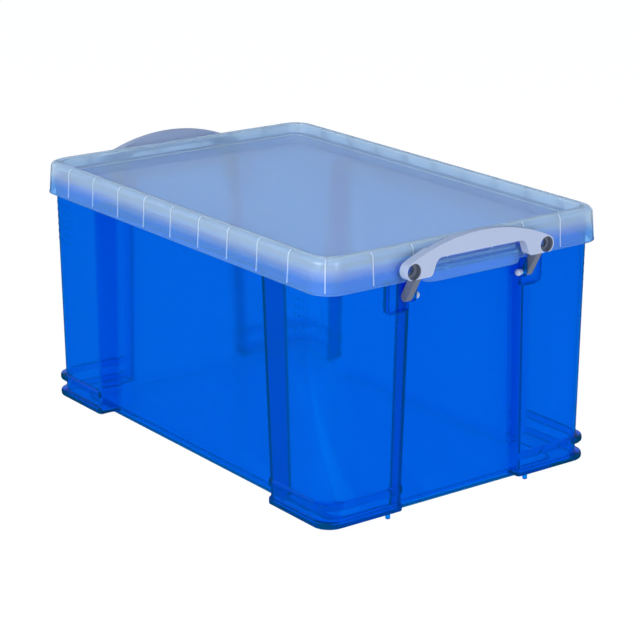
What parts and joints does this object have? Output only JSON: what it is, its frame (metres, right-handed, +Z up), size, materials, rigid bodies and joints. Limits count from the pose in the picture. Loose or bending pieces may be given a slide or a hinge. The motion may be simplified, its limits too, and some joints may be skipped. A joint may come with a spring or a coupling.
{
  "type": "lidded storage box",
  "caption": "Deep translucent stacking storage box with corner columns, a clear lift-off lid with a sunken top, and swinging clip handles at its short ends.",
  "frame": {"origin": "middle of the flat underside, on the surface the box stands on", "axes": "+X along the box towards the front handle, +Z up"},
  "size_m": [0.627, 0.4, 0.3215],
  "materials": {
    "tub": "translucent blue polypropylene, satin gloss",
    "lid": "clear, slightly milky polypropylene",
    "handles": "grey moulded polypropylene, satin"
  },
  "bodies": {
    "tub": {"tub": "tub"},
    "lid": {"lid": "lid"},
    "front_handle": {"front_handle": "handles"},
    "back_handle": {"back_handle": "handles"}
  },
  "joints": [
    {"name": "lid_lift", "type": "slide", "parent": "tub", "child": "lid", "axis": [0, 0, 1], "range_m": [0, 0.16]},
    {"name": "front_handle_turn", "type": "hinge", "parent": "tub", "child": "front_handle", "pos_m": [0.291, 0, 0.256], "axis": [0, 1, 0], "range_deg": [0, 135]},
    {"name": "back_handle_turn", "type": "hinge", "parent": "tub", "child": "back_handle", "pos_m": [-0.291, 0, 0.256], "axis": [0, -1, 0], "range_deg": [0, 135]}
  ]
}
